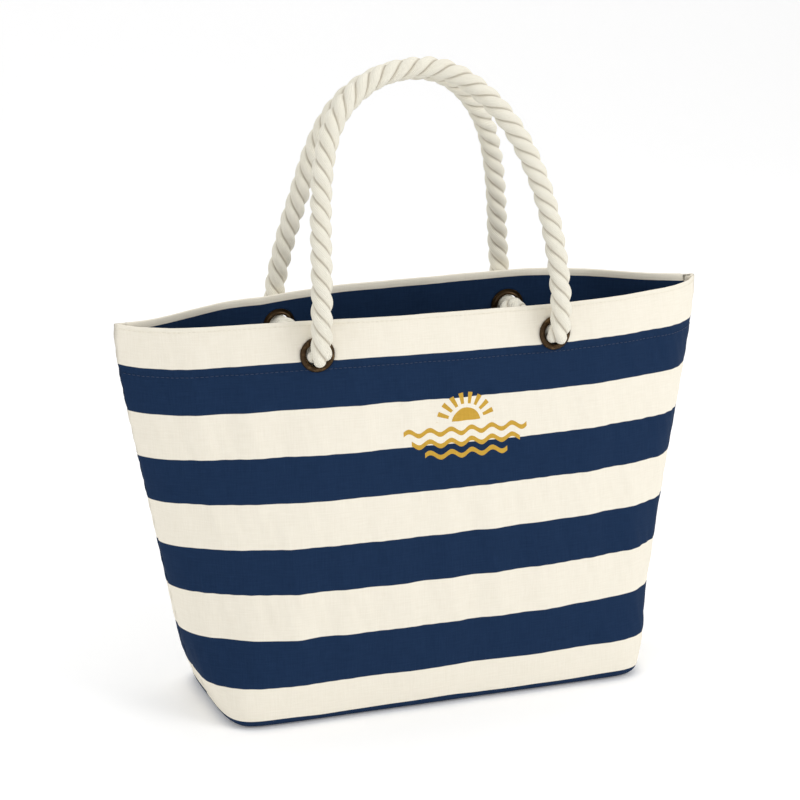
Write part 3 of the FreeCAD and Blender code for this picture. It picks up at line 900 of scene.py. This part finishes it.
for hand, side in (("left", -1), ("right", 1)):
    heights = np.linspace(0.0045, 0.3045, 61)
    seam_x = np.array([wall_points(max(z, ROLL), SHARES, 0.0)[0][-1, 0] - (
        ROLL - math.sqrt(ROLL ** 2 - max(ROLL - z, 0) ** 2)) for z in heights])
    line = np.column_stack([side * (seam_x - 0.0081), wobble(61, 11 + side, 0.0005), heights])
    tape_along(hand + "_side_tape", line, (1, 0, 0), 0.0118, 0.0036, hand + "_seam_tape")
    line = np.column_stack([np.full(31, side * 0.1765), np.linspace(-0.0655, 0.0655, 31),
                            np.full(31, 0.0030)])
    line[:, 0] += wobble(31, 21 + side, 0.0006)
    tape_along(hand + "_end_tape", line, (1, 0, 0), 0.012, 0.0026, hand + "_corner_tape")
line = np.column_stack([np.linspace(-0.170, 0.170, 61), wobble(61, 31, 0.0005), np.full(61, 0.0030)])
tape_along("base_tape", line, (0, 1, 0), 0.012, 0.0026, "base_seam_tape")

# %% Rows of stitches
STITCH, GAP, THREAD = 0.0032, 0.0010, 0.00035


def on_panel(grid, column, row):
    """A place between the grid's points and the normal there, in fractions of rows and columns."""
    places, normals = grid[0], grid[3]
    j, i = int(row), int(column)
    a, b = row - j, column - i
    values = []
    for table in (places, normals):
        top = table[j, i] * (1 - b) + table[j, i + 1] * b
        low = table[j + 1, i] * (1 - b) + table[j + 1, i + 1] * b
        values.append(top * (1 - a) + low * a)
    return values


def stitch_row(name, spots, material):
    """Stitches along a list of (place, normal) pairs: bars of six sides, thinner at their ends."""
    line = np.array([p for p, _ in spots])
    ways = np.array([n for _, n in spots])
    run = np.concatenate([[0], np.cumsum(np.linalg.norm(np.diff(line, axis=0), axis=1))])
    bm = bmesh.new()
    layer = bm.loops.layers.uv.new("cloth")
    for k in range(int(run[-1] / (STITCH + GAP))):
        start = k * (STITCH + GAP)
        ends = [Vector([np.interp(start + extra, run, line[:, a]) for a in range(3)])
                for extra in (0, STITCH)]
        way = Vector([np.interp(start, run, ways[:, a]) for a in range(3)]).normalized()
        along = (ends[1] - ends[0]).normalized()
        turn = along.to_track_quat("Z", "Y").to_matrix().to_4x4()
        middle = Matrix.Translation((ends[0] + ends[1]) / 2 + way * 0.00015)
        stretch = Matrix.Diagonal((1, 1, STITCH / 2 / THREAD, 1))
        made = bmesh.ops.create_uvsphere(bm, u_segments=6, v_segments=5, radius=THREAD,
                                         matrix=middle @ turn @ stretch)
        for v in made["verts"]:
            for loop in v.link_loops:
                loop[layer].uv = (k * 0.37, loop.vert.co.x + loop.vert.co.z)
    stitches = new_object(name, bm, material)
    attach(stitches, "bag")
    return stitches


def row_at(down):
    """The row, in fractions, at which the cloth lies that far from the rim."""
    downs = [r[2] for r in ROWS]
    return float(np.interp(down, downs, range(len(downs))))


for label, grid, sign in (("front", front_grid, -1), ("back", back_grid, 1)):
    for kind, down, colour in (("rim", 0.0035, cream_thread), ("hem", 0.0415, navy_thread)):
        row = row_at(down)
        spots = []
        for column in np.linspace(3.0, len(SHARES) + 0.9, 420):
            place, normal = on_panel(grid, column, row)
            place = place + normal * 0.0006
            if min(math.hypot(place[0] - x, place[2] - z) for x, z in EYELETS) > 0.0155:
                spots.append((place, normal) if sign < 0 else (turned_round(place), turned_round(normal)))
        stitch_row(f"{label}_{kind}_stitches", spots, colour)
